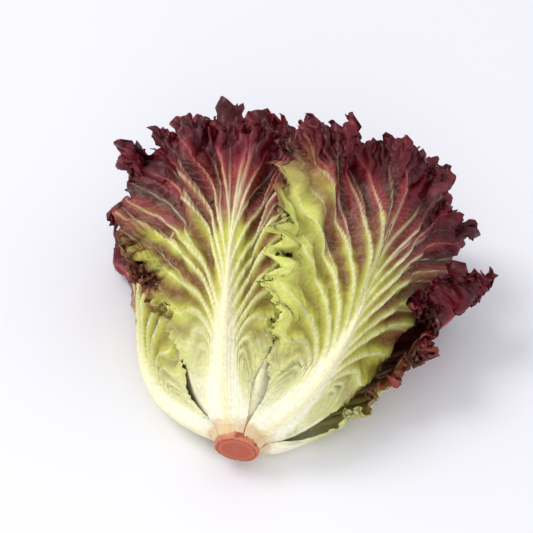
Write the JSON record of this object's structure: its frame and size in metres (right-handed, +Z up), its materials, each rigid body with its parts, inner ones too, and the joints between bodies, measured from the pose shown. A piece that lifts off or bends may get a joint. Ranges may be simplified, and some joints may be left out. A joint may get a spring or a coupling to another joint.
{
  "type": "red leaf lettuce",
  "caption": "Cut head of frilled red leaf lettuce lying on its side, waved fan-shaped leaves nested round a short cut stem; food and kitchen set dressing.",
  "frame": {"origin": "on the surface that the head lies on, under the middle of its bounding box", "axes": "+Z up, +Y from the cut stem towards the leaf tips, +X to the right when seen from the stem's end"},
  "size_m": [0.2714, 0.2372, 0.1486],
  "materials": {
    "cut_stem": "moist cut stem, dull",
    "outer_leaf": "fresh leaf, waxy, pale ribs to maroon edge",
    "inner_leaf": "fresh leaf, waxy, maroon"
  },
  "bodies": {
    "root": {"stem": "cut_stem", "leaf_01": "outer_leaf", "leaf_02": "outer_leaf", "leaf_03": "outer_leaf", "leaf_04": "outer_leaf", "leaf_05": "outer_leaf", "leaf_06": "outer_leaf", "leaf_07": "outer_leaf", "leaf_08": "outer_leaf", "leaf_09": "outer_leaf", "leaf_10": "inner_leaf", "leaf_11": "inner_leaf", "leaf_12": "inner_leaf", "leaf_13": "inner_leaf", "leaf_14": "inner_leaf", "leaf_15": "inner_leaf", "leaf_16": "inner_leaf", "leaf_17": "inner_leaf", "leaf_18": "inner_leaf", "leaf_19": "inner_leaf"}
  },
  "joints": []
}
